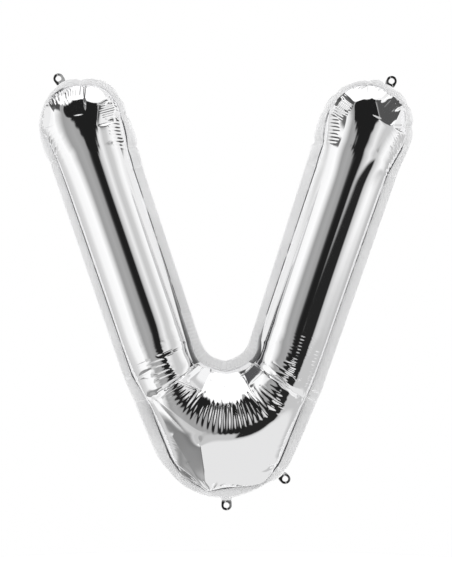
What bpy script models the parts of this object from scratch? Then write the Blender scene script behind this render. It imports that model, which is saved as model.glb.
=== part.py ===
"""Inflated foil letter balloon in the shape of a V, at its real size.

Metres, +Z up. The letter faces -Y and its welded seam lies in the plane y = 0. The origin is the
middle of the letter, the place where the air holds it. Two sheets of film are welded together along
a flat margin and blown up between their welds, so each half is a dished shell on its own side of
the margin, and four ringed tabs stand out of the margin's edge.
"""

import math

import bmesh
import bpy
import numpy as np
from mathutils import Vector
from mathutils.geometry import delaunay_2d_cdt

MM = 0.001

# Driving dimensions
SHELL_WALL = 10 * MM
MARGIN_THICKNESS = 2 * MM
PRESS_GAP = 0.3 * MM
ENVELOPE_FACET = 20 * MM
ARM_STEP = 20 * MM
SEAM_STEP = 12 * MM
TAB_THICKNESS = 2 * MM
TAB_OUTER_RADIUS = 11 * MM
TAB_HOLE_RADIUS = 5.5 * MM
TAB_BASE_WIDTH = 19 * MM
TAB_SHOULDER = 0.75
TAB_STEPS = 18
NECK_WIDTH_AT_MARGIN = 26 * MM
NECK_WIDTH_AT_TAB = 21 * MM

# Where the seam is gathered, at the notch, the foot and the arms' ends, the film leaves it at a
# slope and stays lower than on a straight arm. A sink is the share of height lost all over such a
# place, and a slope the share lost besides at the seam itself, dying away over the reach.
GATHER_REACH = 42 * MM
NOTCH_CENTRE_Z = -87 * MM
NOTCH_SPREAD = math.radians(40)
NOTCH_SINK, NOTCH_SLOPE = 0.12, 0.82
FOOT_TOP_Z, FOOT_EASE = -239 * MM, 120 * MM
FOOT_SINK, FOOT_SLOPE = 0.12, 0.4
END_BOTTOM_Z, END_EASE = 202 * MM, 100 * MM
END_SINK, END_SLOPE = 0.15, 0.12

# Radial crimps of the elbow, below the notch
CRIMP_PITCH = math.radians(11)
CRIMP_SPREAD = math.radians(46)
CRIMP_START, CRIMP_END, CRIMP_EASE = 150 * MM, 222 * MM, 25 * MM
CRIMP_HEIGHT = 2.5 * MM

# Creases across the film, two at the elbow's sides, two on the foot's left and one at each arm's
# end: x and z at both ends in millimetres, then depth
CREASES = (
    (-38, -136, -156, -225, 5),
    (44, -134, 142, -219, 5),
    (-146, -228, -75, -300, 3),
    (-51, -328, -38, -405, 3),
    (-342, 335, -236, 340, 3),
    (236, 332, 344, 326, 3),
)
CREASE_WIDTH = 9 * MM

# Corners of the seam, anticlockwise as seen from the front, in millimetres from the origin.
# Each is (edge x, edge z, weld x, weld z, bulge): the margin's cut edge and its weld line at
# one pucker of the film, and how far the edge bows outwards on the way to the next.
LEFT_ARM_END = (
    (-297, 430, -300, 417, 3),
    (-331, 429, -338, 411, 0),
    (-346, 418, -350, 403, 1),
    (-366, 397, -363, 388, 5),
    (-386, 327, -372, 329, 2),
    (-363, 259, -346, 263, 0),
)
LEFT_FLANK = (
    (-220, -158, -192, -182, 1),
    (-192, -226, -161, -227, 1),
    (-142, -345, -115, -349, 1),
    (-118, -377, -90, -384, 2),
    (-82, -411, -47, -414, 2),
)
FOOT = (
    (-33, -431, -30, -419, 0),
    (-12, -433, -10, -415, 0),
    (16, -433, 18, -411, 1),
    (68, -414, 67, -396, -1),
    (104, -396, 97, -380, 0),
    (124, -375, 107, -368, 0),
    (132, -364, 113, -358, 1),
)
RIGHT_FLANK = (
    (181, -252, 165, -224, 0),
    (199, -211, 175, -208, 0),
)
RIGHT_ARM_END = (
    (355, 235, 334, 235, 0),
    (380, 294, 364, 287, 2),
    (386, 333, 368, 333, 4),
    (376, 381, 366, 374, 3),
    (348, 412, 337, 399, 0),
    (328, 422, 326, 413, 1),
    (316, 430, 307, 419, 1),
    (298, 429, 295, 418, 3),
    (256, 421, 259, 411, 2),
    (228, 403, 239, 394, 2),
    (202, 368, 212, 361, 3),
    (181, 297, 203, 299, 1),
    (166, 256, 188, 252, 0),
)
NOTCH = (
    (50, -107, 68, -107, -1),
    (40, -128, 63, -138, -1),
    (23, -142, 36, -161, -1),
    (0, -150, 0, -172, -1),
    (-25, -143, -36, -162, -1),
    (-38, -133, -59, -148, -1),
    (-53, -107, -73, -107, 0),
)
LEFT_ARM_INSIDE = (
    (-171, 250, -191, 248, 1),
    (-181, 287, -203, 289, 3),
    (-204, 358, -216, 353, 3),
    (-222, 399, -230, 389, 3),
    (-248, 425, -253, 412, 5),
)
SEAM = (
    LEFT_ARM_END + LEFT_FLANK + FOOT + RIGHT_FLANK + RIGHT_ARM_END + NOTCH + LEFT_ARM_INSIDE
)

# Tabs: name, the two ends of the straight edge that the tab stands on, and its hole's centre
# above that edge, in millimetres
NECK_TOP_Z, NECK_BOTTOM_Z = -433, -438
TABS = (
    ("hang_tab_upper_left", (-331, 429), (-346, 418), 11.5),
    ("hang_tab_upper_right", (348, 412), (328, 422), 12),
    ("hang_tab_lower_right", (104, -396), (124, -375), 13),
    ("hang_tab_bottom", (-8, NECK_BOTTOM_Z), (12, NECK_BOTTOM_Z), 11),
)
NECK_CENTRE_X = 2


def clear_scene():
    for item in list(bpy.data.objects):
        bpy.data.objects.remove(item)


def foil(name, colour, roughness):
    """A mirror-bright metallised film."""
    material = bpy.data.materials.new(name)
    material.use_nodes = True
    shader = material.node_tree.nodes["Principled BSDF"]
    shader.inputs["Base Color"].default_value = (*colour, 1)
    shader.inputs["Metallic"].default_value = 1
    shader.inputs["Roughness"].default_value = roughness
    return material


def add_object(name, mesh, material, smooth):
    if smooth:
        mesh.shade_smooth()
        mesh.set_sharp_from_angle(angle=math.radians(40))
    mesh.materials.append(material)
    item = bpy.data.objects.new(name, mesh)
    bpy.context.scene.collection.objects.link(item)
    return item


def bowed_side(start, end, bow, steps):
    """Points from start up to but not including end, on a shallow arc that bows to the right."""
    t = np.linspace(0, 1, steps, endpoint=False)[:, None]
    along = end - start
    outwards = np.array((along[1], -along[0])) / np.linalg.norm(along)
    return start + along * t + outwards * 4 * bow * t * (1 - t)


def seam_loops():
    """The margin's cut edge and the weld line, as two loops with matching points."""
    edge, weld = [], []
    for corner, following in zip(SEAM, SEAM[1:] + SEAM[:1]):
        start, end = np.array(corner) * MM, np.array(following) * MM
        length = max(math.dist(start[:2], end[:2]), math.dist(start[2:4], end[2:4]))
        step = ARM_STEP if length > 10 * ARM_STEP else SEAM_STEP
        steps = max(2, round(length / step))
        bow = start[4]
        edge.append(bowed_side(start[:2], end[:2], bow, steps))
        weld.append(bowed_side(start[2:4], end[2:4], bow, steps))
    return np.concatenate(edge), np.concatenate(weld)


def inset(loop, distance):
    """The loop moved inwards, with its corners eased so that it doesn't cross itself."""
    along = np.roll(loop, -2, axis=0) - np.roll(loop, 2, axis=0)
    along /= np.linalg.norm(along, axis=1)[:, None]
    inner = loop + distance * np.stack((-along[:, 1], along[:, 0]), axis=1)
    for _ in range(2):
        inner = (np.roll(inner, 1, axis=0) + 2 * inner + np.roll(inner, -1, axis=0)) / 4
    return inner


def distance_to_loop(points, loop):
    nearest = np.full(len(points), np.inf)
    for start, end in zip(loop, np.roll(loop, -1, axis=0)):
        along = end - start
        t = np.clip((points - start) @ along / (along @ along), 0, 1)
        nearest = np.minimum(nearest, np.linalg.norm(points - start - t[:, None] * along, axis=1))
    return nearest


def inside_loop(points, loop):
    crossings = np.zeros(len(points), int)
    for (x0, z0), (x1, z1) in zip(loop, np.roll(loop, -1, axis=0)):
        level = (z0 > points[:, 1]) != (z1 > points[:, 1])
        if level.any():
            crossing_x = x0 + (points[:, 1] - z0) * (x1 - x0) / (z1 - z0)
            crossings += level & (points[:, 0] < crossing_x)
    return crossings % 2 == 1


def eased(values, start, width):
    """0 below start, rising smoothly to 1 over the width."""
    t = np.clip((values - start) / width, 0, 1)
    return t * t * (3 - 2 * t)


def below_notch(points):
    """Distance from the notch's centre, and the angle off the way straight down."""
    x, z = points[:, 0], points[:, 1] - NOTCH_CENTRE_Z
    return np.hypot(x, z), np.arctan2(x, -z)


def height_left(points, weld):
    """Share of the blown height that is left where the seam is gathered."""
    turn = below_notch(points)[1]
    near_seam = np.exp(-distance_to_loop(points, weld) / GATHER_REACH)
    foot = eased(-points[:, 1], -FOOT_TOP_Z, FOOT_EASE)
    notch = np.exp(-((turn / NOTCH_SPREAD) ** 2)) * (1 - foot)
    end = eased(points[:, 1], END_BOTTOM_Z, END_EASE)
    lost = notch * (NOTCH_SINK + NOTCH_SLOPE * near_seam)
    lost += foot * (FOOT_SINK + FOOT_SLOPE * near_seam)
    lost += end * (END_SINK + END_SLOPE * near_seam)
    return 1 - lost


def crimped(points):
    """From 0 to 1, how far a place lies inside the elbow's crimps."""
    reach, turn = below_notch(points)
    ring = eased(reach, CRIMP_START - CRIMP_EASE, CRIMP_EASE) * eased(-reach, -CRIMP_END, CRIMP_EASE)
    return ring * eased(-abs(turn), -CRIMP_SPREAD, CRIMP_PITCH)


def from_creases(points):
    """Distance to the nearest crease, and that crease's depth."""
    ends = [(np.array((line[:2], line[2:4])) * MM, line[4] * MM) for line in CREASES]
    away = np.stack([distance_to_loop(points, line) for line, depth in ends])
    depths = np.array([depth for line, depth in ends])
    return away.min(axis=0), depths[away.argmin(axis=0)]


def folds(points, weld):
    """Height of the crimps and depth of the creases, fading out towards the seam."""
    turn = below_notch(points)[1]
    away, depth = from_creases(points)
    relief = CRIMP_HEIGHT * np.cos(2 * np.pi * turn / CRIMP_PITCH) * crimped(points)
    relief -= depth * np.exp(-((away / CREASE_WIDTH) ** 2))
    return relief * eased(distance_to_loop(points, weld), 1.2 * SHELL_WALL, 2 * SHELL_WALL)


def film_plan(weld, rim):
    """Points and triangles over the letter in the seam plane: weld loop, then rim loop, then a
    lattice inside that is twice as fine where the film is folded."""
    fine = ENVELOPE_FACET / 2
    row_height = fine * math.sqrt(3) / 2
    low, high = weld.min(axis=0), weld.max(axis=0)
    row_count, column_count = (int(n) + 1 for n in (high - low)[::-1] / (row_height, fine))
    row, column = np.divmod(np.arange(row_count * column_count), column_count)
    across = column + row % 2 / 2
    grid = low + np.stack((across * fine, row * row_height), axis=1)
    coarse = (row % 2 == 0) & ((column - row // 2) % 2 == 0)
    folded = (crimped(grid) > 0) | (from_creases(grid)[0] < 2 * CREASE_WIDTH)
    grid = grid[coarse | folded]
    grid = grid[inside_loop(grid, rim)]
    grid = grid[distance_to_loop(grid, rim) > 0.55 * ENVELOPE_FACET]
    points = np.concatenate((weld, rim, grid))
    count = len(weld)
    edges = [(i, (i + 1) % count) for i in range(count)]
    edges += [(count + i, count + (i + 1) % count) for i in range(count)]
    plan = delaunay_2d_cdt([Vector(p) for p in points], edges, [range(count)], 1, 1e-7)
    return np.array([v[:] for v in plan[0]]), np.array([tuple(face) for face in plan[2]])


def blown_height(points, triangles, held):
    """How far the gas pushes the film out. The square of the height obeys Poisson's equation, so a
    long straight channel becomes a half round, and a wide place stands higher."""
    count = len(points)
    stiffness = np.zeros((count, count))
    load = np.zeros(count)
    for a, b, c in ((0, 1, 2), (1, 2, 0), (2, 0, 1)):
        i, j, k = triangles[:, a], triangles[:, b], triangles[:, c]
        u, v = points[i] - points[k], points[j] - points[k]
        area = np.abs(u[:, 0] * v[:, 1] - u[:, 1] * v[:, 0]) / 2
        half_cotangent = (u * v).sum(axis=1) / area / 4
        np.add.at(stiffness, (i, j), -half_cotangent)
        np.add.at(stiffness, (j, i), -half_cotangent)
        np.add.at(stiffness, (i, i), half_cotangent)
        np.add.at(stiffness, (j, j), half_cotangent)
        np.add.at(load, k, area / 3)
    free = np.setdiff1d(np.unique(triangles), held)
    squared = np.zeros(count)
    squared[free] = 2 * np.linalg.solve(stiffness[np.ix_(free, free)], load[free])
    return np.sqrt(np.maximum(squared, 0))


def panel_mesh(name, points, triangles, count, side):
    """One dished half on the given side of the seam (-1 front, +1 back), with its inner wall."""
    weld, rim = np.arange(count), np.arange(count, 2 * count)
    in_rim = (triangles < 2 * count).all(axis=1) & (triangles < count).any(axis=1)
    left, relief = height_left(points, points[weld]), folds(points, points[weld])
    outer_height = blown_height(points, triangles, weld) * left + relief
    inner_height = blown_height(points, triangles[~in_rim], rim) * left + relief
    seat = MARGIN_THICKNESS / 2 + PRESS_GAP
    turn = side < 0
    model = bmesh.new()
    outer = [
        model.verts.new((x, side * (seat + h), z)) for (x, z), h in zip(points, outer_height)
    ]
    inner = [None] * count + [
        model.verts.new((x, side * (seat + h), z))
        for (x, z), h in zip(points[count:], inner_height[count:])
    ]
    for face, at_rim in zip(triangles, in_rim):
        outside = [outer[i] for i in face]
        within = [outer[i] if i < count else inner[i] for i in face] if at_rim else [
            inner[i] for i in face
        ]
        model.faces.new(outside if turn else outside[::-1])
        model.faces.new(within[::-1] if turn else within)
    mesh = bpy.data.meshes.new(name)
    model.to_mesh(mesh)
    model.free()
    return mesh


def plate_mesh(name, outer, inner, thickness):
    """A flat ring in the seam plane between two loops with matching points."""
    count = len(outer)
    model = bmesh.new()
    loops = []
    for y in (-thickness / 2, thickness / 2):
        for loop in (outer, inner):
            loops.append([model.verts.new((x, y, z)) for x, z in loop])
    front_outer, front_inner, back_outer, back_inner = loops
    for i in range(count):
        j = (i + 1) % count
        model.faces.new((front_outer[i], front_outer[j], front_inner[j], front_inner[i]))
        model.faces.new((back_outer[j], back_outer[i], back_inner[i], back_inner[j]))
        model.faces.new((front_outer[j], front_outer[i], back_outer[i], back_outer[j]))
        model.faces.new((front_inner[i], front_inner[j], back_inner[j], back_inner[i]))
    mesh = bpy.data.meshes.new(name)
    model.to_mesh(mesh)
    model.free()
    return mesh


def tab_mesh(name, seat_start, seat_end, hole_height):
    """A ring of film round a hanging hole, with a straight base on the edge that carries it."""
    start, end = np.array(seat_start) * MM, np.array(seat_end) * MM
    across = (end - start) / np.linalg.norm(end - start)
    down = np.array((-across[1], across[0]))
    reach = hole_height * MM
    hole = (start + end) / 2 - reach * down
    lean = math.atan2(TAB_BASE_WIDTH / 2, reach)
    shoulder = lean + TAB_SHOULDER
    rim_turns = np.linspace(shoulder, 2 * math.pi - shoulder, TAB_STEPS)
    hole_turns = np.concatenate(((lean,), rim_turns, (2 * math.pi - lean,)))

    def round_hole(radius, turns):
        return [hole + radius * (math.cos(t) * down - math.sin(t) * across) for t in turns]

    foot = hole + (reach - PRESS_GAP) * down
    half_base = TAB_BASE_WIDTH / 2 * across
    rim = round_hole(TAB_OUTER_RADIUS, rim_turns)
    outer = [foot - half_base, *rim, foot + half_base]
    return plate_mesh(name, outer, round_hole(TAB_HOLE_RADIUS, hole_turns), TAB_THICKNESS)


def neck_mesh(name):
    """The short sleeve of film that the gas went in through, flat between margin and tab."""
    centre, top, bottom = NECK_CENTRE_X * MM, NECK_TOP_Z * MM - PRESS_GAP, NECK_BOTTOM_Z * MM
    corners = (
        (centre - NECK_WIDTH_AT_MARGIN / 2, top),
        (centre - NECK_WIDTH_AT_TAB / 2, bottom),
        (centre + NECK_WIDTH_AT_TAB / 2, bottom),
        (centre + NECK_WIDTH_AT_MARGIN / 2, top),
    )
    model = bmesh.new()
    front = [model.verts.new((x, -TAB_THICKNESS / 2, z)) for x, z in corners]
    back = [model.verts.new((x, TAB_THICKNESS / 2, z)) for x, z in corners]
    model.faces.new(front)
    model.faces.new(back[::-1])
    for i in range(4):
        j = (i + 1) % 4
        model.faces.new((front[j], front[i], back[i], back[j]))
    mesh = bpy.data.meshes.new(name)
    model.to_mesh(mesh)
    model.free()
    return mesh


clear_scene()
panel_film = foil("silver_film", (0.80, 0.81, 0.82), 0.08)
margin_film = foil("welded_film", (0.74, 0.75, 0.76), 0.35)
tab_film = foil("tab_film", (0.45, 0.46, 0.47), 0.15)

edge_loop, weld_loop = seam_loops()
rim_loop = inset(weld_loop, SHELL_WALL)
plan_points, plan_triangles = film_plan(weld_loop, rim_loop)
for panel_name, panel_side in (("front_panel", -1), ("back_panel", 1)):
    half = panel_mesh(panel_name, plan_points, plan_triangles, len(weld_loop), panel_side)
    add_object(panel_name, half, panel_film, True)
margin = plate_mesh("weld_margin", edge_loop, rim_loop, MARGIN_THICKNESS)
add_object("weld_margin", margin, margin_film, False)
for tab_name, *tab_place in TABS:
    add_object(tab_name, tab_mesh(tab_name, *tab_place), tab_film, False)
add_object("filling_neck", neck_mesh("filling_neck"), margin_film, False)
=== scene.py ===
import math

import bpy
import numpy as np
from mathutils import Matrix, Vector
from mathutils.bvhtree import BVHTree
from mathutils.geometry import delaunay_2d_cdt
from mathutils.kdtree import KDTree


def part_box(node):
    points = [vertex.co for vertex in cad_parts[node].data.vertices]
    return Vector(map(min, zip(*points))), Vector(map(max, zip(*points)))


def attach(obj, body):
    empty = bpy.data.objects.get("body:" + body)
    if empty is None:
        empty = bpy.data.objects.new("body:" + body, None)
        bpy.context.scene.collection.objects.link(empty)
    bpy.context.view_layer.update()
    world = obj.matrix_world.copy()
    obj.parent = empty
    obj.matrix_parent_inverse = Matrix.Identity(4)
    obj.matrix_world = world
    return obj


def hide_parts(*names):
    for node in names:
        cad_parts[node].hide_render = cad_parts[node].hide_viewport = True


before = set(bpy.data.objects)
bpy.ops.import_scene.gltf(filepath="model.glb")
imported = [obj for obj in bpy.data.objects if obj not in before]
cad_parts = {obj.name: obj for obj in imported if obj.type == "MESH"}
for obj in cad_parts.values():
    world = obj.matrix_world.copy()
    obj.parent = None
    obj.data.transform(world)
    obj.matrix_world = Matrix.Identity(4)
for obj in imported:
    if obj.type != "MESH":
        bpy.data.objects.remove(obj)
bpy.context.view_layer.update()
MM = 0.001


# Weld line and cut edge
# Two sheets of metallised film are fused along a line all round the letter and cut about 19 mm
# outside it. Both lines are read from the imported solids, so every piece below meets on them.

LEVEL_WITHIN = 0.02 * MM
# How many spots a closed line is cut into where the nearest one is looked for
WELD_SPOTS, MATCH_SPOTS = 6000, 12000


def outlines(node, level):
    """Closed loops (x, z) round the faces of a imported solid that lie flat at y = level, longest first."""
    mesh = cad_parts[node].data
    sides = set()
    for face in mesh.polygons:
        corners = [tuple(round(c, 6) for c in mesh.vertices[i].co) for i in face.vertices]
        if any(abs(corner[1] - level) > LEVEL_WITHIN for corner in corners):
            continue
        flat = [(x, z) for x, y, z in corners]
        for side in zip(flat, flat[1:] + flat[:1]):
            if side[::-1] in sides:
                sides.remove(side[::-1])
            else:
                sides.add(side)
    following = dict(sides)
    loops = []
    while following:
        start, point = following.popitem()
        loop = [start]
        while point != start:
            loop.append(point)
            point = following.pop(point)
        loops.append(np.array(loop))
    return sorted(loops, key=lambda loop: -run_along(loop)[-1])


def run_along(loop):
    """Distance along a closed loop at each of its points, and its whole length last."""
    steps = np.linalg.norm(np.roll(loop, -1, axis=0) - loop, axis=1)
    return np.concatenate(((0,), np.cumsum(steps)))


def at_run(loop, runs):
    """The points of a closed loop at the given distances along it."""
    along = run_along(loop)
    runs = np.asarray(runs) % along[-1]
    closed = np.vstack((loop, loop[:1]))
    return np.stack([np.interp(runs, along, closed[:, axis]) for axis in (0, 1)], axis=-1)


def evenly(loop, count):
    return at_run(loop, np.arange(count) / count * run_along(loop)[-1])


def anticlockwise(loop):
    following = np.roll(loop, -1, axis=0)
    area = (loop[:, 0] * following[:, 1] - following[:, 0] * loop[:, 1]).sum()
    return loop if area > 0 else loop[::-1]


def weld_runs(marks):
    """How far along the weld line it comes closest to each of the marks."""
    fine = evenly(weld_line, WELD_SPOTS)
    nearest = [np.argmin(np.linalg.norm(fine - np.array(mark) * MM, axis=1)) for mark in marks]
    return np.array(nearest) / WELD_SPOTS * weld_whole


def matched_runs(points, loop, passes):
    """How far along a closed loop the points of another loop belong, evened out in so many passes."""
    fine, count = evenly(loop, MATCH_SPOTS), len(points)
    turn = np.array([np.argmin(((fine - p) ** 2).sum(axis=1)) for p in points]) / MATCH_SPOTS
    slide = np.unwrap(turn * 2 * np.pi) / (2 * np.pi) - np.arange(count) / count
    for _ in range(passes):
        slide = (np.roll(slide, 1) + 2 * slide + np.roll(slide, -1)) / 4
    return (np.arange(count) / count + slide) * run_along(loop)[-1]


weld_line = anticlockwise(outlines("front_panel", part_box("front_panel")[1].y)[0])
weld_whole = run_along(weld_line)[-1]
cut_edge = anticlockwise(outlines("weld_margin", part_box("weld_margin")[0].y)[0])

# Where the film's spare length is drawn together in a fold: x, z on the weld line in millimetres
PINCHES = (
    (-300, 417), (-338, 411), (-350, 403), (-363, 388), (-372, 329), (-346, 263), (-192, -182),
    (-161, -227), (-90, -384), (-30, -419), (67, -396), (107, -368), (165, -224), (175, -208),
    (334, 235), (368, 333), (366, 374), (337, 399), (295, 418), (239, 394), (212, 361),
    (203, 299), (188, 252), (63, -138), (0, -172), (-59, -148), (-191, 248), (-203, 289),
    (-216, 353), (-230, 389),
)
# Stretches where the spare length lies in many fine gathers instead, named by their middle
GATHERED = ((-320, 416), (-356, 395), (-223, 371), (-372, 345), (-360, 300), (-197, 270), (207, 325),
            (351, 387), (372, 350), (196, 275), (36, -161), (-36, -162))


# Front and back films
# Each is one flat sheet, cut as a V of even stroke, whose seam is shortened when the gas blows it
# up. The sheet is a net of threads that can't stretch but fold easily; it is blown up on a coarse
# net, and then on finer ones, so that the puckers come where the spare film is.

STROKE = 213 * MM
HALF_OPENING_FLAT = math.radians(32)
HALF_OPENING_BLOWN = math.radians(18)
NOTCH_CORNER_Z = -200 * MM
FOOT_Z = -450 * MM
ARM_LENGTH = 731 * MM
NOTCH_ROUNDING, ARM_ROUNDING, FOOT_ROUNDING = 60 * MM, 95 * MM, 30 * MM
FOLD_HALF_WIDTH = 2.5 * MM
STRETCH = 1.01
GAS, BEND, HASTE = 0.147, 0.01, 0.9
SLIT, SHAKE = 0.3 * MM, 0.2 * MM
PLAIN_UP_TO, PLAIN_FROM_SEAM, PLAIN_FROM_NOTCH = 400 * MM, 22 * MM, 165 * MM
# Where the crimps of the collar start and end: reach from the notch, and degrees round from below it
CRIMPS_START, CRIMPS_END = (150 * MM, 190 * MM), (215 * MM, 245 * MM)
COLLAR_ENDS = (62, 80)
STIFF, LIMP = 1, 0.03


def pattern_corners():
    """Corners of the flat V with their roundings, anticlockwise from the foot's right end."""
    along = np.array((math.sin(HALF_OPENING_FLAT), math.cos(HALF_OPENING_FLAT)))
    across = np.array((along[1], -along[0]))
    inner_end = np.array((0, NOTCH_CORNER_Z)) + along * ARM_LENGTH
    outer_end = inner_end + across * STROKE
    foot_x = STROKE / along[1] + (FOOT_Z - NOTCH_CORNER_Z) * math.tan(HALF_OPENING_FLAT)
    right = [(foot_x, FOOT_Z), tuple(outer_end), tuple(inner_end)]
    left = [(-x, z) for x, z in right[::-1]]
    roundings = [FOOT_ROUNDING, ARM_ROUNDING, ARM_ROUNDING]
    return right + [(0, NOTCH_CORNER_Z)] + left, roundings + [NOTCH_ROUNDING] + roundings[::-1]


def rounded_outline(corners, roundings):
    outline = []
    for i, (corner, radius) in enumerate(zip(corners, roundings)):
        corner = np.array(corner)
        back = np.array(corners[i - 1]) - corner
        onward = np.array(corners[(i + 1) % len(corners)]) - corner
        back /= np.linalg.norm(back)
        onward /= np.linalg.norm(onward)
        half = math.acos(back @ onward) / 2
        middle = corner + (back + onward) / np.linalg.norm(back + onward) * radius / math.sin(half)
        first = corner + back * radius / math.tan(half) - middle
        last = corner + onward * radius / math.tan(half) - middle
        start, end = (math.atan2(z, x) for x, z in (first, last))
        turn = (end - start + math.pi) % (2 * math.pi) - math.pi
        for angle in np.linspace(start, start + turn, 60):
            outline.append(middle + radius * np.array((math.cos(angle), math.sin(angle))))
    return np.array(outline)


def inside(points, loop):
    crossings = np.zeros(len(points), int)
    for (x0, z0), (x1, z1) in zip(loop, np.roll(loop, -1, axis=0)):
        level = (z0 > points[:, 1]) != (z1 > points[:, 1])
        if level.any():
            crossings += level & (points[:, 0] < x0 + (points[:, 1] - z0) * (x1 - x0) / (z1 - z0))
    return crossings % 2 == 1


def distance_to(points, loop):
    nearest = np.full(len(points), np.inf)
    for start, end in zip(loop, np.roll(loop, -1, axis=0)):
        along = end - start
        t = np.clip((points - start) @ along / (along @ along), 0, 1)
        nearest = np.minimum(nearest, np.linalg.norm(points - start - t[:, None] * along, axis=1))
    return nearest


def net_over(seam, pitch, plain_at=None):
    """Points and triangles over the flat sheet: the seam's points, then a triangular lattice that is
    twice as wide where plain_at(points) says that the film is plain."""
    low, high = seam.min(axis=0), seam.max(axis=0)
    row_height = pitch * math.sqrt(3) / 2
    rows, columns = int((high[1] - low[1]) / row_height) + 1, int((high[0] - low[0]) / pitch) + 1
    row, column = np.divmod(np.arange(rows * columns), columns)
    half_steps = 2 * column + row % 2
    lattice = low + np.stack((half_steps * pitch / 2, row * row_height), axis=1)
    keep = inside(lattice, evenly(seam, 500))
    if plain_at:
        wide = (half_steps % 2 == 0) & (row % 2 == 0) & ((half_steps // 2 - row // 2) % 2 == 0)
        keep &= wide | ~plain_at(lattice)
    lattice = lattice[keep]
    lattice = lattice[distance_to(lattice, evenly(seam, 800)) > 0.6 * pitch]
    count = len(seam)
    edges = [(k, (k + 1) % count) for k in range(count)]
    points = [Vector(p) for p in np.concatenate((seam, lattice))]
    plan = delaunay_2d_cdt(points, edges, [range(count)], 1, 1e-7)
    return np.array([p[:] for p in plan[0]]), np.array([tuple(face) for face in plan[2]])


def laid_on(points, old_points, old_triangles, old_places):
    """Where the points of a finer net lie on a coarser net's blown shape."""
    tree = BVHTree.FromPolygons([(x, z, 0) for x, z in old_points], old_triangles.tolist())
    found = [tree.find_nearest((x, z, 0)) for x, z in points]
    corners = old_triangles[[hit[2] for hit in found]]
    spot = np.array([hit[0][:2] for hit in found])
    a, b, c = (old_points[corners[:, k]] for k in range(3))

    def area(p, q, r):
        return (q - p)[:, 0] * (r - p)[:, 1] - (q - p)[:, 1] * (r - p)[:, 0]

    shares = np.stack((area(spot, b, c), area(a, spot, c), area(a, b, spot)), axis=1)
    shares /= area(a, b, c)[:, None]
    return np.einsum("nk,nkc->nc", shares, old_places[corners])


def face_on(shape):
    """The x and z of each point."""
    return shape[:, [0, 2]]


def summed(owners, vectors, count):
    """For each of so many points, the sum of the vectors that it owns."""
    return np.stack([np.bincount(owners, side, minlength=count) for side in vectors.T], axis=1)


class Film:
    """A net of threads, stiff when drawn and limp when pressed, with the gas behind it."""

    def __init__(self, flat, triangles, seam_count, stiffness):
        a, b, c = (flat[triangles[:, k]] for k in range(3))
        turned = (b - a)[:, 0] * (c - a)[:, 1] < (b - a)[:, 1] * (c - a)[:, 0]
        triangles = np.where(turned[:, None], triangles[:, ::-1], triangles)
        self.triangles, self.seam_count, self.count = triangles, seam_count, len(flat)
        sides = np.concatenate([triangles[:, pair] for pair in ((0, 1), (1, 2), (2, 0))])
        opposite = np.concatenate([triangles[:, k] for k in (2, 0, 1)])
        sides.sort(axis=1)
        key = sides[:, 0] * self.count + sides[:, 1]
        order = np.argsort(key, kind="stable")
        key, opposite = key[order], opposite[order]
        first = np.concatenate(((True,), key[1:] != key[:-1]))
        self.threads = np.stack(np.divmod(key[first], self.count), axis=1)
        twins = np.nonzero(~first)[0]
        self.hinges = np.stack((opposite[twins - 1], opposite[twins]), axis=1)
        self.length = np.linalg.norm(np.subtract(*flat[self.threads.T]), axis=1)
        self.width = np.linalg.norm(np.subtract(*flat[self.hinges.T]), axis=1)
        middles = flat[self.threads].mean(axis=1)
        self.stiffness = stiffness(middles) if callable(stiffness) else stiffness
        self.ends = np.concatenate((self.threads.T.ravel(), self.hinges.T.ravel()))
        weight = np.concatenate((np.tile(1 / self.length, 2), np.tile(BEND / self.width, 2)))
        self.weight = np.bincount(self.ends, weight, minlength=self.count)

    def pulls(self, places, gas):
        along = places[self.threads[:, 1]] - places[self.threads[:, 0]]
        length = np.sqrt(np.einsum("ij,ij->i", along, along))
        strain = length / self.length - 1
        pull = (np.where(strain > 0, 1, self.stiffness) * strain / length)[:, None] * along
        across = places[self.hinges[:, 1]] - places[self.hinges[:, 0]]
        width = np.sqrt(np.einsum("ij,ij->i", across, across))
        flex = (BEND * (width / self.width - 1) / width)[:, None] * across
        a, b, c = (places[self.triangles[:, k]] for k in range(3))
        push = np.cross(b - a, c - a) * gas / 6
        every = np.concatenate((pull, -pull, flex, -flex))
        pushed = summed(self.triangles.T.ravel(), np.tile(push, (3, 1)), self.count)
        return summed(self.ends, every, self.count) + pushed

    def settle(self, places, gas, steps, glide, seam_free=False, creases_or_painted_shade=(), shares=()):
        """Where the points come to rest, with the seam held and the creases drawn in."""
        speed = np.zeros_like(places)
        heights = places[creases_or_painted_shade, 1] if len(creases_or_painted_shade) else 0
        for step in range(steps):
            speed = glide * speed + self.pulls(places, gas) * (HASTE / self.weight)[:, None]
            speed[: self.seam_count, 1 if seam_free else slice(None)] = 0
            places = places + speed
            places[self.seam_count :, 1] = np.minimum(places[self.seam_count :, 1], -SLIT)
            if len(creases_or_painted_shade):
                level = heights * (1 - shares * min(1, step / CREASE_STEPS))
                places[creases_or_painted_shade, 1] = np.maximum(places[creases_or_painted_shade, 1], level)
                speed[creases_or_painted_shade, 1] = 0
        return places


def arms_swung_in(points):
    """The flat sheet with its arms turned to where the gas will hold them."""
    side, reach = np.sign(points[:, 0]), 100 * MM
    ease = np.clip((points[:, 1] - NOTCH_CORNER_Z + 60 * MM) / (160 * MM), 0, 1)
    turn = (HALF_OPENING_FLAT - HALF_OPENING_BLOWN) * ease * ease * (3 - 2 * ease)
    x, z = np.abs(points[:, 0]) - reach, points[:, 1] - NOTCH_CORNER_Z
    swung_x = side * (reach + x * np.cos(turn) - z * np.sin(turn))
    swung_z = NOTCH_CORNER_Z + x * np.sin(turn) + z * np.cos(turn)
    return np.stack((swung_x, np.full(len(points), -1 * MM), swung_z), axis=1)


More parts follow.
